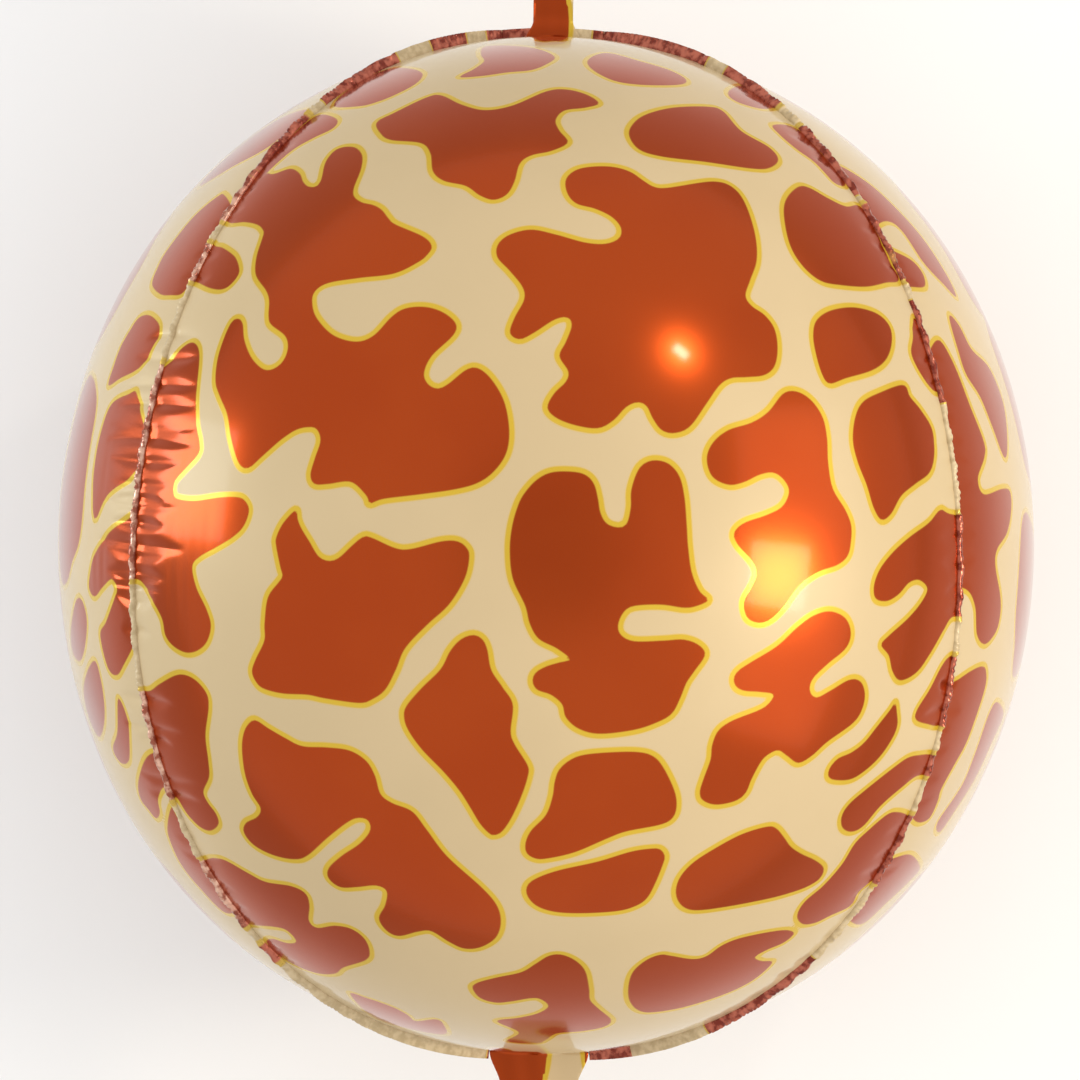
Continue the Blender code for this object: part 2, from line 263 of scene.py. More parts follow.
        (149.2, 8.7), (141.8, 3.3), (135.1, -2.8), (130, -9.5), (127.8, -16), (128.6, -20.8), (133, -21.7),
        (137.6, -19), (141.5, -14.6), (145.5, -13.5), (148.7, -16.8), (146.5, -22), (141.2, -28.4),
        (133.8, -35.1), (130.7, -38.8), (133.6, -43), (135.1, -49.2), (138.2, -52.7), (144.5, -49.6),
        (149.9, -42.2), (155.3, -33.1), (159, -28), (167, -27), (168, 0), (164, 10), (157.3, 12.5),
        (153.8, 13.8)],
    "right_lower_weld": [
        (158.5, -43.3), (154.6, -47.2), (149.9, -56), (144.6, -64.5), (144.5, -68.2), (149.2, -69.9),
        (154, -70.5), (161, -66), (165, -52), (163, -43)],
    "right_lower": [
        (73.1, -51.6), (73.8, -54.8), (77, -56.7), (83.2, -57.2), (88.5, -58.2), (86.5, -61.9),
        (82.5, -64.4), (72.4, -68.4), (67, -72.3), (64.6, -78), (64, -83.5), (61.3, -91), (59.8, -96.4),
        (61.2, -99.6), (66.3, -101.2), (73.8, -99.7), (77.8, -96.5), (80.1, -91.1), (84, -84),
        (87.2, -81.2), (90.6, -80), (94, -82.2), (98.3, -84.9), (103.5, -82.2), (109.5, -76.8),
        (119.6, -69.4), (123.2, -64), (124.3, -58), (122.6, -53.2), (118.3, -52.4), (110.9, -56.6),
        (105.5, -59.3), (102.9, -57), (103.8, -52.3), (109.5, -46.5), (116.9, -40.1), (118.8, -34),
        (116.6, -28.3), (110.9, -25.7), (104.5, -27.2), (98.1, -31.7), (90, -39.2), (79.8, -45.5),
        (75, -48.7)],
    "right_lower_leaf": [
        (136.1, -61.5), (134.2, -64.2), (129, -70.8), (124, -77), (118.9, -80.9), (113.5, -83.4),
        (110.1, -88), (111.2, -91.2), (118.3, -91.4), (124.3, -88), (130.4, -82.2), (135.2, -75),
        (137, -70.1), (136.8, -65.4)],
    "right_lower_finger": [
        (146.5, -82), (141.5, -82.8), (135.8, -86.6), (125, -95.1), (118, -101.2), (115.2, -106),
        (115.6, -110.2), (119, -111.8), (123.7, -109.6), (130.4, -101.8), (138.5, -94.8), (145, -90.3),
        (150, -90), (156, -88), (156, -83), (151, -82)],
    "right_bottom_weld": [
        (137.5, -104.3), (133, -105.2), (125, -111.9), (120.3, -116.6), (115.5, -124.4), (108.2, -132.8),
        (100.8, -139.2), (97.9, -144.6), (100, -147.8), (105, -147.4), (111, -144.6), (119, -141),
        (122, -136), (128, -131), (136, -127), (142, -119), (146, -110), (142, -106)],
    "left_triangle": [
        (-28.7, -34.9), (-33.5, -36.6), (-37.7, -41.2), (-41.4, -48.2), (-48.8, -55.6), (-54.6, -62.4),
        (-55.7, -66.5), (-54.2, -71.8), (-48.8, -79.5), (-40.1, -88.5), (-34, -95.8), (-30, -102),
        (-26, -108.6), (-22.3, -112.5), (-20.4, -113.1), (-17.5, -111.8), (-13.8, -106.5), (-9.8, -97.8),
        (-7.3, -90), (-7.4, -85.8), (-12.5, -77.5), (-14, -72.5), (-13.2, -62), (-17.2, -55.3),
        (-21.6, -48.5), (-23.2, -40.5), (-25.2, -36.5)],
    "lower_left": [
        (-113.8, -68.2), (-117, -70.5), (-118.6, -75), (-118.8, -81), (-117.6, -89.6), (-114.9, -97.1),
        (-111.6, -102.6), (-112.9, -106), (-117.3, -108.4), (-118.1, -112), (-114.2, -117), (-107, -120.8),
        (-99, -122.5), (-93.5, -121.2), (-85.2, -113.9), (-78, -108.3), (-73.8, -106.4), (-69.8, -107.3),
        (-68.9, -111.3), (-73, -116.4), (-80, -121.2), (-85, -126), (-85, -130), (-80.5, -133.4),
        (-74, -133.4), (-66.5, -132.8), (-62.4, -135), (-63, -140.5), (-65.4, -145.5), (-62.5, -150.3),
        (-57.6, -152.5), (-50.2, -150.8), (-45, -150.6), (-38, -154.8), (-32, -157.4), (-25.5, -156.8),
        (-19.7, -153), (-17.8, -147), (-19.4, -140.5), (-25.3, -133.5), (-38.8, -121.3), (-46.8, -110.9),
        (-52.5, -103.8), (-60.3, -100.5), (-64.8, -97), (-67, -89.8), (-70.5, -84), (-77, -80),
        (-86, -78.8), (-95.4, -78.3), (-102.1, -75.1), (-108.5, -71.4)],
    "lower_middle": [
        (14.5, -81.7), (9, -83.8), (4.8, -87.6), (3.1, -92.4), (2.3, -98), (-0.3, -105.2), (-6, -111.2),
        (-8.2, -116), (-7.8, -120), (-4.4, -122.2), (0.4, -122.2), (11.2, -119.7), (23.9, -114.3),
        (31.3, -111.6), (44.8, -108.9), (49.5, -106), (50.8, -101), (49.7, -95.1), (45.5, -86.5),
        (41.5, -82.2), (35.5, -80.6), (25, -80.7)],
    "lower_middle_leaf": [
        (41.4, -118.3), (44.6, -118.8), (46.2, -121.5), (45.1, -125.4), (42.5, -131.8), (39.4, -137.5),
        (35.4, -140.5), (28, -142.7), (13.8, -143.6), (3, -143), (-4, -140.6), (-7.6, -136.5),
        (-7.4, -132.6), (-3.5, -129.7), (5.1, -126.7), (19.9, -123.4), (33, -119.5)],
    "lower_right": [
        (85.9, -109.8), (89.6, -110.4), (92.7, -113.9), (95.4, -117.6), (99.5, -120.4), (105, -123),
        (108.2, -126), (106.8, -130), (102.1, -133.1), (96, -135.4), (87.2, -137.8), (72.4, -140.7),
        (60, -142.4), (54.5, -141.7), (51.4, -138.8), (50.5, -134.5), (52.2, -129.4), (57, -124),
        (65, -118.7), (75.8, -112.9)],
    "bottom_left_weld": [
        (-132.1, -122.8), (-129, -122.4), (-125, -123.2), (-116.2, -128.1), (-109.5, -131.4),
        (-99.4, -133.1), (-94, -136), (-92.5, -140.5), (-92.7, -146.5), (-89.5, -149.3), (-82.5, -148.5),
        (-76, -149.8), (-71, -153.6), (-69, -158.5), (-70.5, -161.9), (-79.1, -164.8), (-82.5, -167.2),
        (-89.9, -167), (-100.8, -163.1), (-107, -158.6), (-109.4, -155.2), (-107, -153.8), (-101, -155.4),
        (-97.6, -154.6), (-101.4, -150.3), (-107, -148.9), (-116.2, -148.5), (-122, -148), (-131, -143),
        (-138, -134), (-138, -126)],
    "bottom_right": [
        (44.5, -159.8), (48.5, -160.2), (56.9, -161.5), (62.5, -160.4), (68.5, -156.2), (75.8, -153.3),
        (87.9, -150.8), (94.5, -150.3), (96.6, -151.8), (92.5, -155.2), (86, -158), (81.4, -160.8),
        (84, -162.3), (88.2, -162.6), (85.5, -166), (79.1, -170.8), (69, -175.5), (54.2, -180.2),
        (42, -182.3), (36.1, -181.6), (32.6, -178), (32, -172.5), (33.8, -166.5), (39, -161.9)],
    "bottom_middle": [
        (-28.8, -172.8), (-27, -170.8), (-19.9, -168.8), (-9.8, -166.6), (-4, -163.2), (1, -160.2),
        (6, -159.8), (11.5, -162.2), (15.2, -166.3), (16.7, -173.2), (17.1, -177.5), (20.5, -181),
        (25.3, -185.3), (22.5, -188), (14, -189.7), (4, -190.6), (0, -193), (-4, -194.5), (-15, -193.6),
        (-10.6, -190.2), (-19.2, -185.8), (-11, -184.5), (-3.5, -182.8), (0.8, -180), (-2, -177.3),
        (-6, -176.8), (-14, -178.1), (-20, -178.5), (-26, -176.6)],
    "bottom_left_limb": [
        (-76.5, -175.2), (-70, -176.8), (-60, -180.3), (-54, -183.5), (-51, -185.8), (-43, -185.1),
        (-40, -187.3), (-40, -191), (-55, -188.5), (-68, -184)],
    "tab_root": [
        (-5.2, 200), (-5.4, 198.4), (-3.6, 197.3), (-0.8, 196.6), (2.6, 196.9), (5.7, 196.8), (7.4, 197.6),
        (7.8, 199)],
    "bottom_weld": [(-22, -196.6), (-12, -197.6), (-1.2, -198.8), (-1.2, -208), (-24, -206)],
    "bottom_right_weld": [(15.6, -199.5), (16.5, -197.8), (30, -195.6), (32, -198), (28, -206), (16, -206)],
}

# Side print: the same, outside the welds

SIDE_PATCHES = {
    "left_upper": [
        (-125.7, 136.7), (-128.4, 136.1), (-137.8, 128), (-147.9, 115.2), (-151.9, 107.8), (-153.8, 101.7),
        (-150.6, 98), (-146.5, 97.7), (-142.8, 98.4), (-139, 103), (-132, 112), (-122, 126), (-123, 132)],
    "left_upper_small": [
        (-156, 89.9), (-153.3, 88.8), (-151.1, 85.5), (-152.6, 80.1), (-157.3, 71.3), (-160.7, 68),
        (-166.1, 65.3), (-170.9, 62.5), (-168.8, 70), (-166.1, 77.4), (-162.7, 83.5), (-159.3, 88.5)],
    "left_middle_long": [
        (-160.3, 60), (-162.7, 59.2), (-169.8, 54.9), (-174.1, 43.1), (-176.5, 29.6), (-177, 18),
        (-176.8, 12.1), (-175.6, 10.7), (-171.4, 19.5), (-162.7, 26.9), (-159.2, 33), (-157.8, 45.8),
        (-159.2, 54)],
    "left_middle_hook": [
        (-158, 15), (-161.3, 12.5), (-170.1, 5.6), (-174.1, 0.2), (-176.8, -4.8), (-178.2, -11.5),
        (-178.4, -17), (-176.3, -20), (-173.1, -16.2), (-169.8, -13.2), (-168.1, -16.2), (-168.1, -18.9),
        (-171.8, -29.7), (-174.1, -35.1), (-171.1, -47.9), (-167.7, -50.7), (-165, -46.5), (-161, -37.5),
        (-159, -28), (-157, -10), (-156, 5)],
    "left_limb_second": [
        (-183.2, -21), (-181.2, -21.6), (-179.4, -29), (-180, -39), (-181.9, -45.2), (-184.6, -42.5),
        (-185.6, -35.8), (-184.9, -27.7)],
    "left_limb_third": [
        (-176.2, -45.2), (-174, -52), (-172.5, -62.7), (-172.8, -70.8), (-174.8, -74.8), (-178.6, -67),
        (-180.6, -57), (-179, -49)],
    "left_lower_small": [
        (-167.1, -60), (-163.7, -67.4), (-162.8, -76), (-163, -84.2), (-166.1, -84.9), (-169.1, -79.5),
        (-167.4, -72.8)],
    "left_lower": [
        (-154.5, -81.5), (-157.3, -85), (-159.3, -93), (-158.3, -99.1), (-155.3, -103.2), (-152.4, -106.6),
        (-150.9, -104.5), (-151.7, -99.5), (-150.4, -95.2), (-144, -92), (-145, -85), (-150, -81.5)],
    "left_bottom": [
        (-146.5, -102.2), (-147.8, -108), (-147.3, -114), (-142.5, -124.7), (-134.4, -134.8),
        (-125.7, -143.4), (-121, -142), (-127, -133), (-134, -123), (-137.5, -114), (-142, -110),
        (-145.2, -105)],
    "right_upper_band": [
        (112, 149), (122, 144), (132.5, 135.5), (146, 121), (156, 106), (160, 97),
        (154.6, 102.4), (147.2, 110.5), (139, 122.6), (133, 126.6), (124, 125), (114, 140)],
    "right_top_small": [
        (92, 168), (96.5, 166.5), (101, 163.5), (105.5, 158.5), (106, 155), (102, 153), (95, 159)],
    "right_upper_small": [
        (131, 117.5), (137, 114.5), (143, 111), (147, 106), (147.7, 101.1), (143, 101.1), (138, 102),
        (131, 108)],
    "right_streak": [
        (157.3, 89.2), (161, 86), (166, 76.5), (173, 69), (178.5, 55), (180, 40), (178.8, 34.3),
        (174.1, 46.4), (169.4, 57.9), (164, 66.6), (161, 75.4)],
    "right_long": [
        (149.9, 76), (152.6, 80.1), (155.3, 78.1), (160, 68.7), (165.4, 54.5), (170.8, 40.4),
        (171, 34.3), (168.5, 26), (170.8, 19.9), (178, 22), (181, 21), (181.5, 14), (179.9, 5),
        (176, -1.6), (175.3, -8), (177.2, -19.6), (177.2, -27), (175.5, -33.8), (171.3, -38.6),
        (168.2, -35), (167.5, -24), (164.5, -17.4), (158, -15.5), (153, -10), (153, 20), (151, 45),
        (146, 66)],
    "right_lower_long": [
        (170.3, -47.3), (165.5, -49.3), (156, -56.3), (148, -62), (144, -75), (144, -88), (147.6, -94),
        (146.3, -99), (142.8, -104.6), (145, -108.2), (149.5, -106.7), (152.8, -100), (154.2, -95.2),
        (159.7, -85), (164, -77), (168.4, -65), (171.4, -55), (171.7, -49.5)],
    "right_lower_limb": [
        (175.8, -61.3), (172.8, -66), (168.1, -79.5), (163.4, -91.6), (159.3, -98.5), (152.6, -108.6),
        (153.8, -111.9), (160, -103), (167.5, -91), (174, -77), (178.5, -66)],
    "right_bottom": [
        (142.5, -121), (137, -122), (132, -125.4), (126, -134.8), (123.7, -141.2), (120, -144.2),
        (119, -147), (124, -147.6), (133, -139.5), (142, -131), (145.9, -126)],
}

# Plainer patches of the side panels' hidden halves, seen from the side: where each lies along the pole axis
# and above the middle, its half length and half height in millimetres, and its tilt in radians

LOWER_SIDE_PATCHES = [
    (-178, -8, 9, 17, 0.0), (-140, 12, 21, 23, 0.2), (-84, 12, 27, 21, 0.1), (-112, -40, 25, 18, -0.2),
    (-48, -30, 27, 23, 0.2), (12, -22, 26, 21, -0.1), (78, -30, 30, 21, 0.2), (138, -34, 23, 19, -0.2),
    (165, 10, 15, 23, 0.0), (-82, -84, 27, 16, -0.15), (-14, -86, 29, 19, 0.1), (52, -84, 27, 18, -0.1),
    (112, -80, 24, 13, 0.3)]
LIMB_PATCHES = {
    1: [(-17, 38, 30, 26, 0.0), (56, 24, 33, 24, 0.15), (116, 22, 26, 22, -0.2)],
    -1: [(22, 52, 36, 24, 0.05), (151, 50, 12, 20, -0.25), (100, 22, 27, 22, 0.15), (-30, 12, 20, 18, 0.1),
         (44, 8, 20, 13, 0.1)],
}

# Flap print, seen from above

TAB_PATCHES = {"tab": [(-14, 190), (5.4, 190), (8.5, 198), (8.7, 208), (6, 216), (-3, 219), (-14, 218)]}
TAIL_PATCHES = {
    "tail_left": [(-26, -190), (-1.2, -190), (-2, -212), (-8, -222), (-14, -226), (-26, -224)],
    "tail_right": [(15.6, -190), (26, -190), (26, -214), (17, -208)],
    "tail_end": [
        (2, -236), (8, -229), (15, -231), (18, -240), (12, -252), (4, -256), (-3, -250), (-3, -242)],
}

# Creases of the front panel at its left weld: height above the middle and reach from the weld, millimetres

LEFT_CREASES = [
    (76, 18), (66.8, 22), (57.5, 25), (50.5, 26), (41, 30), (37.8, 30), (29, 24), (20.5, 20), (15.6, 18),
    (12, 26), (6.5, 18), (-1.5, 30), (-6, 19), (-11.5, 20), (-15, 17), (-17.5, 17), (-20, 15),
    (-23, 13), (-33, 10), (-59.5, 18), (-70.5, 20), (-74, 12), (-90, 20), (-95.5, 18)]

# Brown stretches that only the welds show, from one place in the picture to another along the weld

WELD_STRETCHES = {
    (-1, 1): [
        ((-42, 185), (-30, 188)), ((-22.5, 192), (-15, 196)), ((-82, 167), (-54, 181)),
        ((-22.5, -197), (-15, -198))],
    (1, 1): [
        ((15, 194), (59, 181)), ((66, 178), (86, 167)), ((96, 160), (123, 138)), ((15.5, -198), (31, -196)),
        ((62, -188), (103, -160)), ((146, 97), (161, 57))],
}
POLE_STRETCHES = [(-0.023, -0.007), (0.0155, 0.023)]

# Shallow folds of the front panel along its left weld: height, half length, distance from it, depth

LONG_FOLDS = [
    (-9, 16, 23.5, 0.12), (-7, 17, 30, 0.09), (-8, 15, 36, 0.10), (4, 14, 42, 0.08), (22, 12, 27, 0.08)]

# Seams of each panel: side 1 right and -1 left, face 1 front and -1 back

PANEL_SEAMS = {
    "front": [(-1, 1), (1, 1)],
    "back": [(-1, -1), (1, -1)],
    "left": [(-1, 1), (-1, -1)],
    "right": [(1, 1), (1, -1)],
}

# Inks: the noise's scale, two tones of brown and cream, yellow, and the roughness of brown and of cream. On
# the welds' film the two tones lie far apart: the lighter paint the crinkles' glints and the darker paint
# the shade between them, and its pale browns paint a highlight on the left welds

INKS = {
    "printed_film": {
        "cloud": 14.0, "brown": [(0.36, 0.044, 0.003, 1), (0.38, 0.050, 0.004, 1)],
        "yellow": (0.60, 0.395, 0.035, 1), "cream": [(0.55, 0.42, 0.240, 1), (0.57, 0.435, 0.25, 1)],
        "roughness": (0.19, 0.40)},
    "weld_film_painted_glints_and_shade": {
        "cloud": 330.0, "brown": [(0.18, 0.026, 0.014, 1), (0.46, 0.130, 0.080, 1)],
        "yellow": (0.52, 0.35, 0.070, 1), "cream": [(0.47, 0.355, 0.20, 1), (0.60, 0.47, 0.285, 1)],
        "roughness": (0.26, 0.36), "pale": [(0.30, 0.085, 0.050, 1), (0.72, 0.44, 0.32, 1)]},
}

# Print distances over which one ink turns into the next, and X over which the left welds' paler brown, a
# painted highlight of the left lamp, ends

BROWN_EDGE = (-0.35, 0.35)
YELLOW_EDGE = (1.5, 2.4)
LEFT_WELD_HIGHLIGHT_EDGE = (-0.122, -0.108)

# How metallic brown, yellow and cream are, and the clear coat's weight as the film turns away from the eye

METALLIC = (0.8, 0.35, 0.1)
COAT_TURN = (0.50, 0.95)
COAT_WEIGHT = (0.17, 0.75)

# Lights: the way to each from the balloon, its distance, width and length, watts and colour

LIGHTS = {
    "warm_right": ((0.782, -0.081, 0.618), 1.67, (0.32, 0.42), 9, (1.0, 0.92, 0.76)),
    "broad_right": ((0.84, -0.08, 0.54), 2.0, (2.2, 1.1), 7.7, (1.0, 0.93, 0.85)),
    "small_upper": ((0.450, 0.593, 0.668), 1.67, (0.09, 0.055), 1.6, (1.0, 0.95, 0.88)),
    "left_window": ((-0.982, 0.15, 0.10), 0.86, (0.26, 0.40), 2.2, (0.80, 0.91, 1.0)),
}
FLOOR_HALF = 4.0
FLOOR_TONE_REACH = (0.31, 0.75)


def shoulder_swell(along):
    """How much fuller the body is than an ellipsoid, for the pole axis part of a direction."""
    return 1 + SHOULDER_SWELL * 4 * along ** 2 * (1 - along ** 2)


def body_point(direction):
    """Skin points about the body's centre for unit directions."""
    swell = shoulder_swell(direction[..., 1:2])
    return direction * np.array([BODY_WIDTH, BODY_LENGTH, BODY_DEPTH]) / 2 * swell


def body_normal(direction):
    """Unit normals of the skin for unit directions."""
    normal = direction / np.array([BODY_WIDTH, BODY_LENGTH, BODY_DEPTH])
    return normal / np.linalg.norm(normal, axis=-1, keepdims=True)


def turned(across, turn):
    """Unit directions from an angle across the panel and a turn from the tab over the front."""
    return np.stack([np.sin(across), np.cos(across) * np.cos(turn), np.cos(across) * np.sin(turn)], axis=-1)


def seam_across(turn):
    """The front seam's angle from the middle of the front panel."""
    fork = 2 * FORK_OFFSET / BODY_WIDTH
    opening = (math.sin(SEAM_ANGLE) - fork) / math.cos(SEAM_ANGLE)
    rise = opening * np.sin(turn - SEAM_SKEW * np.sin(turn))
    return np.arctan(rise) + np.arcsin(fork / np.sqrt(1 + rise ** 2))


def camera_turned(right, up, sense=1):
    """A place turned as the camera is about the middle, or back with sense -1."""
    cosine = math.cos(CAMERA_TURN)
    sine = math.sin(CAMERA_TURN) * sense
    return right * cosine - up * sine, up * cosine + right * sine


def picture_place(points):
    """Where skin points show in the picture, in millimetres right of and above the middle."""
    spread = CAMERA_SPREAD / (CAMERA_RADII - points[:, 2] / RADIUS) * MM
    return np.stack(camera_turned(points[:, 0] * spread, points[:, 1] * spread, -1), axis=-1)


def skin_place(places):
    """Skin points that show at places in the picture, which is picture_place the other way round."""
    right, up = camera_turned(places[:, 0] / MM, places[:, 1] / MM)
    height = np.zeros(len(places))
    swell = np.ones(len(places))
    for _ in range(40):
        shrink = (CAMERA_RADII - height / RADIUS) / CAMERA_SPREAD / swell
        across = right * shrink / (BODY_WIDTH / 2)
        along = up * shrink / (BODY_LENGTH / 2)
        length = np.maximum(np.hypot(across, along), 1e-9)
        over = np.maximum(length, 1.0)
        across = across / over
        along = along / over
        depth = np.sqrt(np.maximum(0.0, 1 - across ** 2 - along ** 2))
        point = body_point(np.stack([across, along, depth], axis=-1))
        swell = shoulder_swell(along)
        height = 0.5 * height + 0.5 * point[:, 2]
    return point


def flap_place(places):
    """Points of the flat flaps, level with the body's middle, that show at places in the picture."""
    spread = CAMERA_SPREAD / CAMERA_RADII * MM
    right, up = camera_turned(places[:, 0] / spread, places[:, 1] / spread)
    return np.stack([right, up, np.zeros(len(places))], axis=-1)


def smooth_outline(corners, spacing=0.8):
    """Points about a given distance apart on the smooth closed curve through the corners."""
    corners = np.array(corners, dtype=float)
    curve = []
    count = len(corners)
    for index in range(count):
        before, start, end, after = [corners[(index + step) % count] for step in (-1, 0, 1, 2)]
        steps = max(2, int(np.linalg.norm(end - start) / spacing))
        for part in np.arange(steps) / steps:
            curve.append(0.5 * (2 * start + (end - before) * part
                                + (2 * before - 5 * start + 4 * end - after) * part ** 2
                                + (3 * start - before - 3 * end + after) * part ** 3))
    return np.array(curve)


def inside_outline(places, curve):
    """True for the places that lie inside one closed curve."""
    inside = np.zeros(len(places), dtype=bool)
    low = curve.min(axis=0)
    high = curve.max(axis=0)
    near = np.nonzero(np.all((places >= low) & (places <= high), axis=1))[0]
    if len(near) == 0:
        return inside
    x, y = places[near].T
    odd = np.zeros(len(near), dtype=bool)
    for start, end in zip(curve, np.roll(curve, -1, axis=0)):
        if start[1] == end[1]:
            continue
        crosses = (start[1] > y) != (end[1] > y)
        odd ^= crosses & (x < (end[0] - start[0]) * (y - start[1]) / (end[1] - start[1]) + start[0])
    inside[near] = odd
    return inside


def search_tree(points):
    """A tree that finds the nearest of the points."""
    tree = KDTree(len(points))
    for index, point in enumerate(points):
        tree.insert(point, index)
    tree.balance()
    return tree


def distance_to_stretch(points, starts, ends):
    """Distance from each point to its own straight stretch."""
    way = ends - starts
    share = np.einsum("ij,ij->i", points - starts, way) / np.maximum(np.einsum("ij,ij->i", way, way), 1e-18)
    nearest = starts + np.clip(share, 0, 1)[:, None] * way
    return np.linalg.norm(points - nearest, axis=1)


def outline_distance(points, curves, lift, flatten, near_side):
    """Millimetres from each point to the nearest curve, below nought inside one on the near side.

    The lift takes the curves' flat places onto the film, and flatten takes the film's points to such places.
    """
    edge = lift(np.concatenate(curves))
    after = lift(np.concatenate([np.roll(curve, -1, axis=0) for curve in curves]))
    before = lift(np.concatenate([np.roll(curve, 1, axis=0) for curve in curves]))
    tree = search_tree(edge)
    nearest = np.array([tree.find(point)[1] for point in points])
    distance = np.minimum(distance_to_stretch(points, edge[nearest], after[nearest]),
                          distance_to_stretch(points, edge[nearest], before[nearest])) * MM
    places = flatten(points)
    inside = np.zeros(len(points), dtype=bool)
    for curve in curves:
        inside |= inside_outline(places, curve)
    return np.where(inside & near_side, -distance, distance)


def print_distance(points, patches, near_side=True, lift=skin_place):
    """Print distance to the patches that are drawn as the picture shows them."""
    curves = [smooth_outline(corners) for corners in patches.values()]
    return outline_distance(points, curves, lift, picture_place, near_side)


def side_skin(places, side):
    """Skin points of one side panel from places seen from that side, in millimetres along and up."""
    swell = np.ones(len(places))
    for _ in range(12):
        along = np.clip(places[:, 0] / MM / (BODY_LENGTH / 2) / swell, -1, 1)
        swell = shoulder_swell(along)
    depth = places[:, 1] / MM / (BODY_DEPTH / 2) / swell
    across = np.sqrt(np.maximum(0.0, 1 - along ** 2 - depth ** 2))
    return body_point(np.stack([side * across, along, depth], axis=-1))


def plain_patch(along, height, half_length, half_height, tilt):
    """A rounded, slightly wavy closed curve about a place, as seen from the side."""
    angle = np.linspace(0, 2 * math.pi, 140, endpoint=False)
    phase = 0.7 * along + 1.3 * height
    radius = 1 + 0.09 * np.sin(2 * angle + phase) + 0.07 * np.sin(3 * angle + 2 * phase)
    radius += 0.04 * np.sin(5 * angle + 3 * phase)
    x = half_length * radius * np.sign(np.cos(angle)) * np.abs(np.cos(angle)) ** 0.8
    y = half_height * radius * np.sign(np.sin(angle)) * np.abs(np.sin(angle)) ** 0.8
    return np.stack([along + x * math.cos(tilt) - y * math.sin(tilt),
                     height + x * math.sin(tilt) + y * math.cos(tilt)], axis=-1)


def main_distance(points, face):
    """Print distance on the front panel, or on the back one, which has the front's print turned round."""
    return print_distance(points if face > 0 else points * HALF_TURN, FRONT_PATCHES)


def side_distance(points, side):
    """Print distance on a side panel: the patches that the picture shows, and plainer ones below them."""
    shown = print_distance(points, SIDE_PATCHES, points[:, 2] > RADIUS / CAMERA_RADII)
    curves = [plain_patch(*patch) for patch in LOWER_SIDE_PATCHES + LIMB_PATCHES[side]]
    plain = outline_distance(points, curves, lambda places: side_skin(places, side),
                             lambda skin: skin[:, 1:] * MM, points[:, 0] * side > 0)
    return np.minimum(shown, plain)


def seam_line(side, face):
    """Directions along one seam from the tab's pole to the tail's: side 1 right, face 1 front."""
    turn = np.linspace(0.0, math.pi, SEAM_SAMPLES)
    return turned(side * seam_across(turn), face * turn)


SEAMS = {(side, face): seam_line(side, face) for side in (-1, 1) for face in (-1, 1)}


def gather_depth(side, face, height):
    """How deep the creases are at a height along a seam, in millimetres."""
    if face < 0:
        return BACK_CREASE
    low, high, depth = DEEP_CREASES[side]
    return depth if low < height < high else PLAIN_CREASE


def seam_creases(side, face):
    """Creases across one seam from the tail to the tab: height, reach and depth in millimetres."""
    dice = random.Random(40 + 7 * side + 3 * face)
    drawn = (side, face) == (-1, 1)
    creases = list(LEFT_CREASES) if drawn else []
    low, high, _ = DEEP_CREASES[side]
    height, last = CREASE_HEIGHTS
    while height < last:
        height += dice.uniform(6.0, 11.0)
        if drawn and low < height < high:
            continue
        creases.append((height, dice.uniform(6, 14)))
    return [(height, reach, gather_depth(side, face, height) * dice.uniform(0.6, 1.2))
            for height, reach in sorted(creases)]


def arc_length(line):
    """Length along a line of points up to each of them."""
    return np.concatenate([[0.0], np.cumsum(np.linalg.norm(np.diff(line, axis=0), axis=1))])


def along_seam(side, face, height):
    """Length along a seam, in metres, at which it is at a height in millimetres above the middle."""
    line = body_point(SEAMS[(side, face)])
    return np.interp(-height / MM, -line[:, 1], arc_length(line))


def seam_offsets(points, line):
    """How far points lie away from a seam and how far along it, in millimetres."""
    tree = search_tree(line)
    nearest = np.array([tree.find(point)[1] for point in points])
    tangent = np.gradient(line, axis=0)
    tangent /= np.linalg.norm(tangent, axis=1, keepdims=True)
    gap = points - line[nearest]
    slip = np.einsum("ij,ij->i", gap, tangent[nearest])
    away = np.sqrt(np.maximum(0.0, np.einsum("ij,ij->i", gap, gap) - slip ** 2)) * MM
    return away, (arc_length(line)[nearest] + slip) * MM


def crease_cut(share, offset, number):
    """How much of its depth a crease has, from the share of its reach and the millimetres across it."""
    bend = CREASE_BEND * share ** 2 * math.sin(2.4 * number)
    belly = CREASE_BELLY * np.sin(math.pi * np.minimum(1, share + CREASE_EASE_SHARE))
    width = (CREASE_WIDTH + belly) * (1 + 0.2 * math.sin(number))
    ease = 0.5 + 0.5 * np.minimum(1, share / CREASE_EASE_SHARE)
    return ease * (1 - share ** 2.2) * np.exp(-(np.abs(offset - bend) / width) ** 1.6)


def film_relief(points, panel_seams):
    """How far each point of a panel lies above the smooth skin, in metres."""
    relief = np.zeros(len(points))
    for side, face in panel_seams:
        away, along = seam_offsets(points, body_point(SEAMS[(side, face)]))
        relief -= SEAM_DIP * np.exp(-(away / MM / SEAM_DIP_REACH) ** 1.5)
        for number, (height, reach, depth) in enumerate(seam_creases(side, face)):
            offset = along - along_seam(side, face, height) * MM
            near = (away < reach) & (np.abs(offset) < CREASE_SPREAD)
            relief[near] -= depth / MM * crease_cut(away[near] / reach, offset[near], number)
        if (side, face) == (-1, 1):
            for height, length, distance, depth in LONG_FOLDS:
                offset = along - along_seam(side, face, height) * MM
                fold = np.exp(-((away - distance) / FOLD_WIDTH) ** 2)
                relief -= depth / MM * fold * np.exp(-(offset / length) ** 2)
    return relief


def grid_faces(rows, columns, flip):
    """Faces of a grid of points, as corner indices."""
    index = np.arange(rows * columns).reshape(rows, columns)
    corners = [index[:-1, :-1], index[:-1, 1:], index[1:, 1:], index[1:, :-1]]
    faces = np.stack([corner.ravel() for corner in corners], axis=-1)
    return faces[:, ::-1] if flip else faces


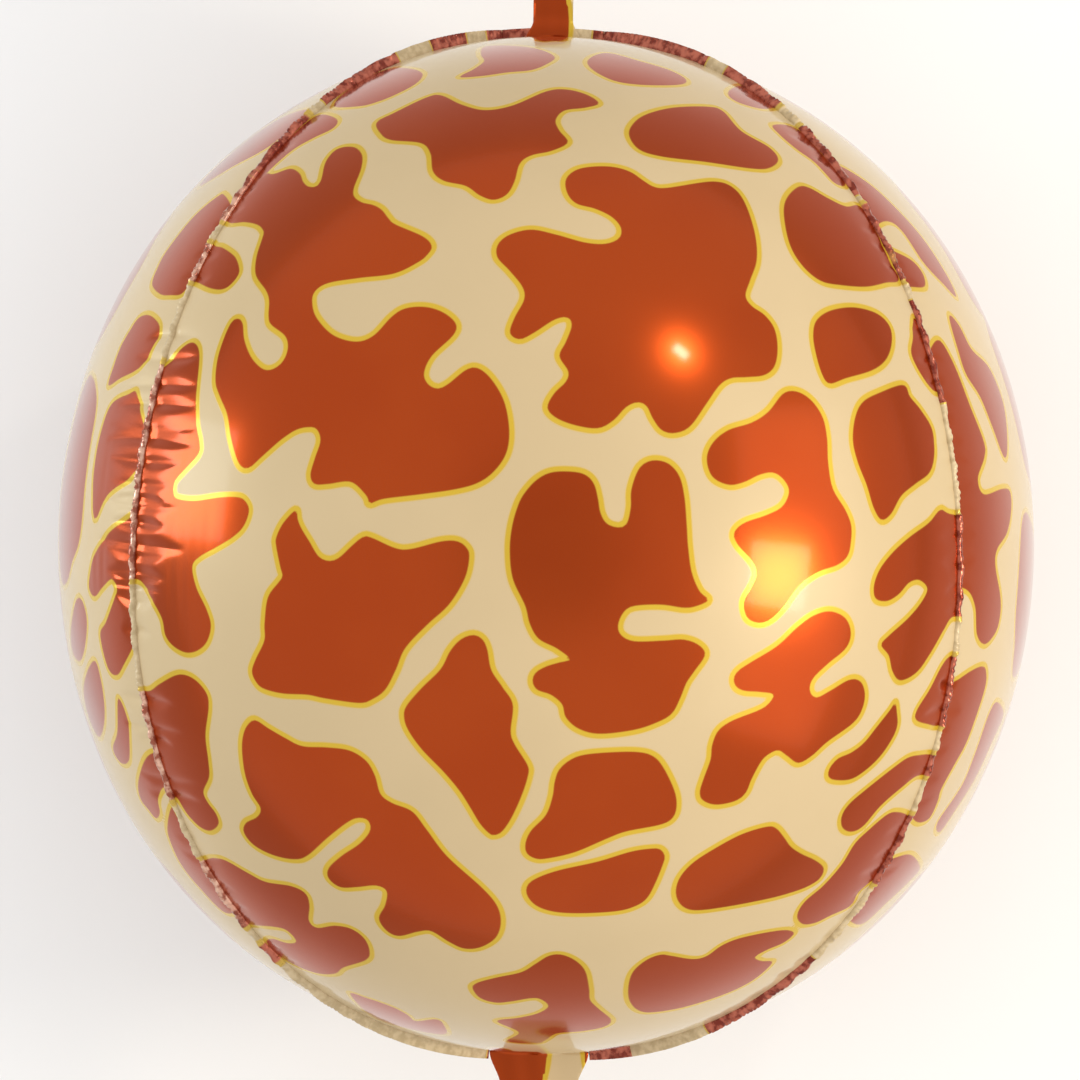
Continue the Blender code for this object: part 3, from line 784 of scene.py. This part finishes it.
def make_piece(name, points, faces, distance, material):
    """A smooth piece of printed film that rides with the balloon and stands for its solid."""
    mesh = bpy.data.meshes.new(name)
    mesh.from_pydata(points.tolist(), [], [list(face) for face in faces])
    ink = mesh.attributes.new("print_distance", "FLOAT", "POINT")
    ink.data.foreach_set("value", distance.astype(np.float32))
    merged = bmesh.new()
    merged.from_mesh(mesh)
    bmesh.ops.remove_doubles(merged, verts=merged.verts, dist=MERGE_DISTANCE)
    merged.to_mesh(mesh)
    merged.free()
    mesh.materials.append(material)
    mesh.polygons.foreach_set("use_smooth", np.ones(len(mesh.polygons), dtype=bool))
    mesh.update()
    piece = bpy.data.objects.new(name, mesh)
    bpy.context.scene.collection.objects.link(piece)
    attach(piece, "root")
    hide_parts("envelope")


def row_turns():
    """Turns of a panel's rows, closer together where the creases are deepest."""
    turn = np.linspace(0.0, math.pi, 2000)
    weight = 1 + 0.35 * np.exp(-((turn - FRONT_CREASE_TURN) / FRONT_CREASE_SPAN) ** 4)
    total = np.cumsum(weight)
    total = (total - total[0]) / (total[-1] - total[0])
    return np.interp(np.linspace(0, 1, PANEL_ROWS), total, turn)


def panel_directions(panel):
    """Unit directions of a panel's grid, rows from the tab's pole to the tail's."""
    turn = row_turns()[:, None]
    edge = seam_across(turn)
    if panel in ("front", "back"):
        face = 1 if panel == "front" else -1
        columns = FRONT_COLUMNS if panel == "front" else BACK_COLUMNS
        share = np.linspace(-1.0, 1.0, columns)[None, :]
        return turned(share * edge, face * turn + 0 * share)
    side = 1 if panel == "right" else -1
    share = np.linspace(1.0, -1.0, SIDE_COLUMNS)[None, :]
    seam = turned(edge, turn)
    level = np.hypot(seam[..., 0], seam[..., 2])
    half_arc = np.arctan2(seam[..., 2], seam[..., 0])
    angle = share * half_arc
    return np.stack([side * level * np.cos(angle), seam[..., 1] + 0 * share, level * np.sin(angle)], axis=-1)


def panel_print(panel, points):
    """Print distances of a panel."""
    if panel in ("front", "back"):
        return main_distance(points, 1 if panel == "front" else -1)
    return side_distance(points, 1 if panel == "right" else -1)


def make_panel(panel, material):
    """One film panel, gathered towards its seams and flattened where the balloon lies on it."""
    directions = panel_directions(panel)
    rows, columns = directions.shape[:2]
    directions = directions.reshape(-1, 3)
    skin = body_point(directions)
    distance = panel_print(panel, skin)
    relief = film_relief(skin, PANEL_SEAMS[panel])
    points = skin + body_normal(directions) * relief[:, None] + CENTRE
    points[:, 2] = np.maximum(points[:, 2], 0.0)
    flip = panel in ("front", "left")
    make_piece(panel + "_panel", points, grid_faces(rows, columns, flip), distance, material)


def drifting_wave(arc, wave):
    """A wave along an edge, whose length drifts."""
    length, drift, drift_length = wave
    return np.sin(arc / length + drift * np.sin(arc / drift_length))


def weld_stance(foot, knots):
    """Height and lean of a crinkled fin along its foot: lower at the knots, upright at the poles."""
    arc = arc_length(foot)
    pole = np.clip(np.abs(foot[:, 1]) / POLE, 0, 1) ** 5
    knot = sum([np.exp(-((arc - spot) / KNOT_LENGTH) ** 2) for spot in knots], np.zeros(len(arc)))
    mid = 1 - pole
    height = (WELD_HEIGHT + (WELD_POLE_HEIGHT - WELD_HEIGHT) * pole) * (1 - 0.4 * np.minimum(1, knot) * mid)
    crinkle = drifting_wave(arc, CRINKLE_WAVE) * (0.3 + 0.7 * knot)
    lean = WELD_LEAN * mid * (1 - 0.35 * knot) + CRINKLE_LEAN * (0.2 + 0.8 * mid) * crinkle
    lean += BEND_LEAN * drifting_wave(arc, BEND_WAVE) * mid
    ribs = RIB_LEAN * drifting_wave(arc, RIB_WAVE) * (0.6 + 0.4 * np.sin(arc / RIB_BEAT))
    return height, lean + ribs * (0.25 + 0.75 * mid)


def weld_rings(line, face, knots):
    """Rings round a thin crinkled fin on a line of directions, each point's film and the way out."""
    foot = body_point(line)
    normal = body_normal(line)
    along = np.gradient(foot, axis=0)
    along /= np.linalg.norm(along, axis=1, keepdims=True)
    across = np.cross(normal, along)
    outward = across * np.where(across[:, 2] * face > 0, -1.0, 1.0)[:, None]
    height, lean = weld_stance(foot, knots)
    sections = [(level, 1) for level in WELD_LEVELS] + [(level, -1) for level in reversed(WELD_LEVELS)]
    rings = []
    for level, film in sections:
        angle = lean * max(0.0, 0.4 + 0.6 * level)
        rise = np.cos(angle)[:, None] * normal + np.sin(angle)[:, None] * outward
        side = np.cos(angle)[:, None] * outward - np.sin(angle)[:, None] * normal
        half = WELD_THICKNESS / 2 * (0.4 if level == 1.0 else 1.0)
        lift = height * level if level >= 0 else np.full(len(foot), -WELD_FOOT_DEPTH)
        rings.append(foot + rise * lift[:, None] + film * half * side)
    return np.stack(rings, axis=1), np.array([film for _, film in sections]), outward


def ring_faces(rows, columns):
    """Faces of a closed tube of rings with an end face on each end."""
    faces = []
    for row in range(rows - 1):
        for column in range(columns):
            after = (column + 1) % columns
            faces.append((row * columns + column, row * columns + after,
                          (row + 1) * columns + after, (row + 1) * columns + column))
    faces.append(tuple(range(columns))[::-1])
    faces.append(tuple((rows - 1) * columns + column for column in range(columns)))
    return faces


def stretch_distance(places, stretches):
    """Print distance along a line to the nearest brown stretch, whose yellow ends are narrow ones."""
    distance = np.full(len(places), 100.0)
    for start, end in stretches:
        distance = np.minimum(distance, np.maximum(start - places, places - end) * MM / STRETCH_END_SHARE)
    return distance


def make_fin(name, rings, distance, material):
    """One weld's piece from its rings of points."""
    faces = ring_faces(*rings.shape[:2])
    make_piece(name, rings.reshape(-1, 3) + CENTRE, faces, distance.ravel(), material)


def make_weld(side, face, material):
    """The crinkled fin where two panels' edges are sealed together."""
    line = SEAMS[(side, face)]
    knots = [along_seam(side, face, height) for height, _, _ in seam_creases(side, face)]
    rings, films, outward = weld_rings(line, face, knots)
    foot = body_point(line)
    main_print = main_distance(foot - outward * WELD_PRINT_INSET, face)
    side_print = side_distance(foot + outward * WELD_PRINT_INSET, side)
    arc = arc_length(foot)
    seen = picture_place(foot)
    stretches = []
    for ends in WELD_STRETCHES.get((side, face), []):
        marks = [arc[np.argmin(np.linalg.norm(seen - np.array(end), axis=1))] for end in ends]
        stretches.append((min(marks), max(marks)))
    main_print = np.minimum(main_print, stretch_distance(arc, stretches))
    distance = np.where(films[None, :] < 0, main_print[:, None], side_print[:, None])
    make_fin(f"{SIDE_NAMES[side]}_{FACE_NAMES[face]}_weld", rings, distance, material)


def make_pole_weld(side, material):
    """The short fin on one side of the tab, where the front and back panels are sealed to each other."""
    near = math.asin(2 * POLE_WELD_START / BODY_WIDTH)
    far = math.asin(2 * FORK_OFFSET / BODY_WIDTH) * POLE_WELD_OVERLAP
    across = np.sort(side * np.linspace(near, far, 40))
    line = turned(across, 0 * across)
    rings, films, _ = weld_rings(line, 1, [])
    along = stretch_distance(body_point(line)[:, 0], POLE_STRETCHES)
    distance = np.repeat(along[:, None], len(films), axis=1)
    make_fin(f"{SIDE_NAMES[side]}_tab_weld", rings, distance, material)


def flap_outline(root, width, flare, length, corner, start, sense):
    """Corner points of a flap that leaves the body at start and points along sense times Y."""
    outline = []
    for share in np.linspace(0, 1, 9):
        ease = share * share * (3 - 2 * share)
        outline.append((root / 2 + (width - root) / 2 * ease, start + sense * flare * share))
    for angle in np.linspace(0, math.pi / 2, 8):
        outline.append((width / 2 - corner + corner * math.cos(angle),
                        start + sense * (length - corner + corner * math.sin(angle))))
    mirror = [(-x, y) for x, y in reversed(outline)]
    return outline + mirror


def flap_film(outline, hole):
    """Flat points on a flap's outline and on a fine grid inside it, and the faces between them."""
    border = [Vector(point) for point in outline]
    loops = [border]
    if hole:
        centre, radius = hole
        angles = np.linspace(0, 2 * math.pi, HOLE_POINTS, endpoint=False)
        loops.append([Vector((radius * math.cos(angle), centre + radius * math.sin(angle)))
                      for angle in angles])
    corners = []
    edges = []
    for loop in loops:
        first = len(corners)
        corners += loop
        edges += [(first + i, first + (i + 1) % len(loop)) for i in range(len(loop))]
    low_x = min(point.x for point in border)
    high_x = max(point.x for point in border)
    low_y = min(point.y for point in border)
    high_y = max(point.y for point in border)
    for x in np.arange(low_x + FLAP_GRID_EDGE, high_x, FLAP_GRID):
        for y in np.arange(low_y + FLAP_GRID_EDGE, high_y, FLAP_GRID):
            corners.append(Vector((x, y)))
    spots, _, faces, _, _, _ = delaunay_2d_cdt(corners, edges, [], 2, MERGE_DISTANCE)
    return np.array([(spot.x, spot.y) for spot in spots]), faces


def film_walls(faces, count):
    """Narrow faces from a film's top to its bottom, round every open edge."""
    sides = [side for face in faces for side in zip(face, face[1:] + face[:1])]
    known = set(sides)
    return [(end, start, start + count, end + count) for start, end in sides if (end, start) not in known]


def make_flap(name, outline, hole, ripple, patches, material):
    """A thin rippled flap of sealed film."""
    flat, faces = flap_film(outline, hole)
    wave = ripple(*flat.T)
    count = len(flat)
    points = np.concatenate([np.column_stack([flat, wave + half * FLAP_THICKNESS]) for half in (0.5, -0.5)])
    skins = [tuple(face) for face in faces] + [tuple(i + count for i in reversed(face)) for face in faces]
    distance = print_distance(points, patches, lift=flap_place)
    make_piece(name, points + CENTRE, skins + film_walls(faces, count), distance, material)


def make_tab(material):
    """The hanging tab with its hole, at the top of the front and back panels."""
    outline = flap_outline(TAB_ROOT_WIDTH, TAB_WIDTH, TAB_FLARE_LENGTH, TAB_LENGTH, TAB_CORNER, POLE, 1)
    radius = TAB_HOLE_DIAMETER / 2
    hole = (POLE + TAB_LENGTH - TAB_HOLE_EDGE - radius, radius)
    make_flap("hanging_tab", outline, hole,
              lambda x, y: 0.0002 * np.sin((y - POLE) / 0.0021) + 0.0002 * np.sin(x / 0.0023),
              TAB_PATCHES, material)


def make_tail(material):
    """The flat filling tail at the bottom of the front and back panels."""
    outline = flap_outline(
        TAIL_ROOT_WIDTH, TAIL_WIDTH, TAIL_FLARE_LENGTH, TAIL_LENGTH, TAIL_CORNER, -POLE, -1)
    make_flap("filling_tail", outline, None,
              lambda x, y: 0.0004 * np.sin(x / 0.0031 + y / 0.02) + 0.0003 * np.sin(y / 0.009),
              TAIL_PATCHES, material)


def node(nodes, kind, place, **values):
    """A shader node at a place with some input values set."""
    made = nodes.new(kind)
    made.location = place
    for key, value in values.items():
        setattr(made, key, value)
    return made


def step_range(tree, source, low, high, place, out_low=0.0, out_high=1.0):
    """A smooth step of a value between two limits."""
    step = node(tree.nodes, "ShaderNodeMapRange", place, interpolation_type="SMOOTHSTEP")
    step.inputs["From Min"].default_value = low
    step.inputs["From Max"].default_value = high
    step.inputs["To Min"].default_value = out_low
    step.inputs["To Max"].default_value = out_high
    tree.links.new(source, step.inputs["Value"])
    return step.outputs["Result"]


def mix(tree, factor, first, second, place, kind="RGBA"):
    """Two colours, or numbers, mixed by a factor; each is a value or another node's output."""
    mixer = node(tree.nodes, "ShaderNodeMix", place, data_type=kind)
    tree.links.new(factor, mixer.inputs[0])
    first_slot, result = (6, 2) if kind == "RGBA" else (2, 0)
    for slot, value in enumerate((first, second), first_slot):
        if isinstance(value, (tuple, float)):
            mixer.inputs[slot].default_value = value
        else:
            tree.links.new(value, mixer.inputs[slot])
    return mixer.outputs[result]


def film_material(name):
    """Shiny film with brown patches, a yellow-gold line round each and cream between."""
    inks = INKS[name]
    material = bpy.data.materials.new(name)
    material.use_nodes = True
    tree = material.node_tree
    shader = tree.nodes["Principled BSDF"]
    ink = node(tree.nodes, "ShaderNodeAttribute", (-1500, 200), attribute_name="print_distance")
    place = node(tree.nodes, "ShaderNodeTexCoord", (-1500, -300))
    cloud = node(tree.nodes, "ShaderNodeTexNoise", (-1300, -200))
    cloud.inputs["Scale"].default_value = inks["cloud"]
    cloud.inputs["Detail"].default_value = 3.0
    tree.links.new(place.outputs["Object"], cloud.inputs["Vector"])
    source = ink.outputs["Fac"]
    past_brown = step_range(tree, source, *BROWN_EDGE, (-1200, 300))
    past_yellow = step_range(tree, source, *YELLOW_EDGE, (-1200, 100))
    # On the welds' film this noise mixes tones far apart, painted glints and painted shade of the crinkles;
    # on the panels it gives only a slight random tone
    uneven = step_range(tree, cloud.outputs["Fac"], 0.35, 0.65, (-1000, -200))
    brown = mix(tree, uneven, *inks["brown"], (-800, 400))
    # The left welds' paler brown is a painted highlight of the left lamp on them
    if "pale" in inks:
        apart = node(tree.nodes, "ShaderNodeSeparateXYZ", (-1300, 600))
        tree.links.new(place.outputs["Object"], apart.inputs[0])
        left = step_range(tree, apart.outputs["X"], *LEFT_WELD_HIGHLIGHT_EDGE, (-1100, 600), 1.0, 0.0)
        pale = mix(tree, uneven, *inks["pale"], (-900, 600))
        brown = mix(tree, left, brown, pale, (-700, 600))
    cream = mix(tree, uneven, *inks["cream"], (-800, 150))
    inner = mix(tree, past_brown, brown, inks["yellow"], (-600, 350))
    colour = mix(tree, past_yellow, inner, cream, (-400, 300))
    inner_metallic = mix(tree, past_brown, *METALLIC[:2], (-600, 0), "FLOAT")
    metallic = mix(tree, past_yellow, inner_metallic, METALLIC[2], (-400, 0), "FLOAT")
    base_rough = mix(tree, past_yellow, *inks["roughness"], (-600, -200), "FLOAT")
    rough = node(tree.nodes, "ShaderNodeMath", (-400, -200), operation="MULTIPLY_ADD")
    tree.links.new(cloud.outputs["Fac"], rough.inputs[0])
    rough.inputs[1].default_value = 0.03
    tree.links.new(base_rough, rough.inputs[2])
    facing = node(tree.nodes, "ShaderNodeLayerWeight", (-1000, -450))
    gloss = step_range(tree, facing.outputs["Facing"], *COAT_TURN, (-700, -450), *COAT_WEIGHT)
    tree.links.new(colour, shader.inputs["Base Color"])
    tree.links.new(metallic, shader.inputs["Metallic"])
    tree.links.new(rough.outputs[0], shader.inputs["Roughness"])
    tree.links.new(gloss, shader.inputs["Coat Weight"])
    shader.inputs["Specular IOR Level"].default_value = 0.1
    shader.inputs["Coat IOR"].default_value = 1.5
    shader.inputs["Coat Roughness"].default_value = 0.08
    return material


def pale_floor():
    """A matt floor, nearly white round the balloon and a little greyer further out."""
    material = bpy.data.materials.new("pale_floor")
    material.use_nodes = True
    tree = material.node_tree
    shader = tree.nodes["Principled BSDF"]
    cloud = node(tree.nodes, "ShaderNodeTexNoise", (-900, 0))
    cloud.inputs["Scale"].default_value = 3.0
    near = mix(tree, cloud.outputs["Fac"], (0.80, 0.80, 0.80, 1), (0.83, 0.83, 0.83, 1), (-600, 0))
    place = node(tree.nodes, "ShaderNodeTexCoord", (-1100, -300))
    away = node(tree.nodes, "ShaderNodeVectorMath", (-900, -300), operation="LENGTH")
    tree.links.new(place.outputs["Object"], away.inputs[0])
    far = step_range(tree, away.outputs["Value"], *FLOOR_TONE_REACH, (-600, -300))
    tone = mix(tree, far, near, (0.60, 0.60, 0.60, 1), (-300, 0))
    tree.links.new(tone, shader.inputs["Base Color"])
    shader.inputs["Roughness"].default_value = 0.9
    return material


def make_floor():
    """The floor that the balloon lies on."""
    mesh = bpy.data.meshes.new("floor")
    half = FLOOR_HALF
    corners = [(-half, -half, 0), (half, -half, 0), (half, half, 0), (-half, half, 0)]
    mesh.from_pydata(corners, [], [(0, 1, 2, 3)])
    mesh.materials.append(pale_floor())
    floor = bpy.data.objects.new("floor", mesh)
    bpy.context.scene.collection.objects.link(floor)


def make_light(name, toward, distance, size, power, colour):
    """A soft square light that shines at the balloon from a direction."""
    light = bpy.data.lights.new(name, "AREA")
    light.shape = "RECTANGLE"
    light.size, light.size_y = size
    light.energy = power
    light.color = colour
    holder = bpy.data.objects.new(name, light)
    middle = Vector((0, 0, CENTRE_HEIGHT))
    way = Vector(toward).normalized()
    holder.location = middle + way * distance
    holder.rotation_euler = way.to_track_quat("Z", "Y").to_euler()
    holder.visible_camera = False
    bpy.context.scene.collection.objects.link(holder)


def make_surroundings():
    """An even pale studio, a little dimmer overhead."""
    world = bpy.data.worlds.new("studio")
    world.use_nodes = True
    tree = world.node_tree
    background = tree.nodes["Background"]
    place = node(tree.nodes, "ShaderNodeTexCoord", (-900, 0))
    apart = node(tree.nodes, "ShaderNodeSeparateXYZ", (-700, 0))
    tree.links.new(place.outputs["Generated"], apart.inputs[0])
    overhead = step_range(tree, apart.outputs["Z"], 0.90, 1.0, (-500, 0))
    tone = mix(tree, overhead, (1.06, 1.05, 1.04, 1), (0.74, 0.72, 0.71, 1), (-250, 0))
    tree.links.new(tone, background.inputs["Color"])
    bpy.context.scene.world = world
    bpy.context.scene.view_settings.view_transform = "Standard"


def make_camera():
    """A long lens straight above the balloon, turned as little as the photograph is."""
    camera = bpy.data.cameras.new("camera")
    focal_pixels = OUTLINE_RADIUS_PIXELS * CAMERA_SPREAD
    camera.sensor_width = SENSOR_WIDTH
    camera.lens = focal_pixels / IMAGE_WIDTH * SENSOR_WIDTH
    holder = bpy.data.objects.new("camera", camera)
    pixel = CAMERA_RADII * RADIUS / focal_pixels
    right = (IMAGE_WIDTH / 2 - MIDDLE_PIXEL[0]) * pixel
    up = (MIDDLE_PIXEL[1] - IMAGE_WIDTH / 2) * pixel
    holder.location = (*camera_turned(right, up), CENTRE_HEIGHT + CAMERA_RADII * RADIUS)
    holder.rotation_euler = (0, 0, CAMERA_TURN)
    bpy.context.scene.collection.objects.link(holder)
    bpy.context.scene.camera = holder


def main():
    """Make the stage, then the balloon."""
    make_camera()
    make_floor()
    make_surroundings()
    for name, values in LIGHTS.items():
        make_light(name, *values)
    film = film_material("printed_film")
    sealed = film_material("weld_film_painted_glints_and_shade")
    for panel in ("front", "back", "left", "right"):
        make_panel(panel, film)
    for side in (-1, 1):
        for face in (-1, 1):
            make_weld(side, face, sealed)
        make_pole_weld(side, sealed)
    make_tab(film)
    make_tail(film)


main()
